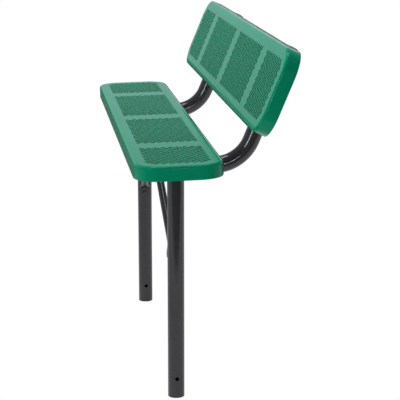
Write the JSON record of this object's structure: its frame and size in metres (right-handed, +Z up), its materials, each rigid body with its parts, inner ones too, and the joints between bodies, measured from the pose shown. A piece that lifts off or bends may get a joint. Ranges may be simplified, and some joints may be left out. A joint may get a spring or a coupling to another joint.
{
  "type": "park bench",
  "caption": "Long park bench with a backrest: perforated coated seat and back panels on bent tube arms, braced, over two straight posts that are set in the ground.",
  "frame": {"origin": "midway between the two posts' axes, at the finished ground line", "axes": "+X along the bench, towards a seated person's left hand; +Y from the front edge of the seat towards the back; +Z up"},
  "size_m": [1.8288, 0.6046, 1.3023],
  "materials": {
    "green_coating": "thick glossy plastic coating over perforated sheet steel",
    "frame_paint": "satin dark powder coat on steel tube",
    "channel_paint": "the panels' coating, on the hidden cross channels",
    "cap_plastic": "black moulded plastic",
    "fastener_steel": "zinc plated"
  },
  "bodies": {
    "root": {"arm_front_cap_left": "cap_plastic", "arm_front_cap_right": "cap_plastic", "arm_left": "frame_paint", "arm_right": "frame_paint", "arm_top_cap_left": "cap_plastic", "arm_top_cap_right": "cap_plastic", "back_bolts": "fastener_steel", "back_channel_left": "channel_paint", "back_channel_right": "channel_paint", "back_nuts": "fastener_steel", "back_panel": "green_coating", "back_strap_beads": "frame_paint", "back_strap_lower_left": "frame_paint", "back_strap_lower_right": "frame_paint", "back_strap_upper_left": "frame_paint", "back_strap_upper_right": "frame_paint", "back_washers": "fastener_steel", "brace_left": "frame_paint", "brace_post_bolts": "fastener_steel", "brace_post_washers": "fastener_steel", "brace_right": "frame_paint", "brace_top_bolts": "fastener_steel", "brace_top_nuts": "fastener_steel", "brace_top_washers": "fastener_steel", "post_left": "frame_paint", "post_right": "frame_paint", "post_weld_left": "frame_paint", "post_weld_right": "frame_paint", "seat_bolts": "fastener_steel", "seat_channel_centre": "channel_paint", "seat_channel_left": "channel_paint", "seat_channel_right": "channel_paint", "seat_nuts": "fastener_steel", "seat_panel": "green_coating", "seat_strap_beads": "frame_paint", "seat_strap_front_left": "frame_paint", "seat_strap_front_right": "frame_paint", "seat_strap_rear_left": "frame_paint", "seat_strap_rear_right": "frame_paint", "seat_washers": "fastener_steel"}
  },
  "joints": []
}
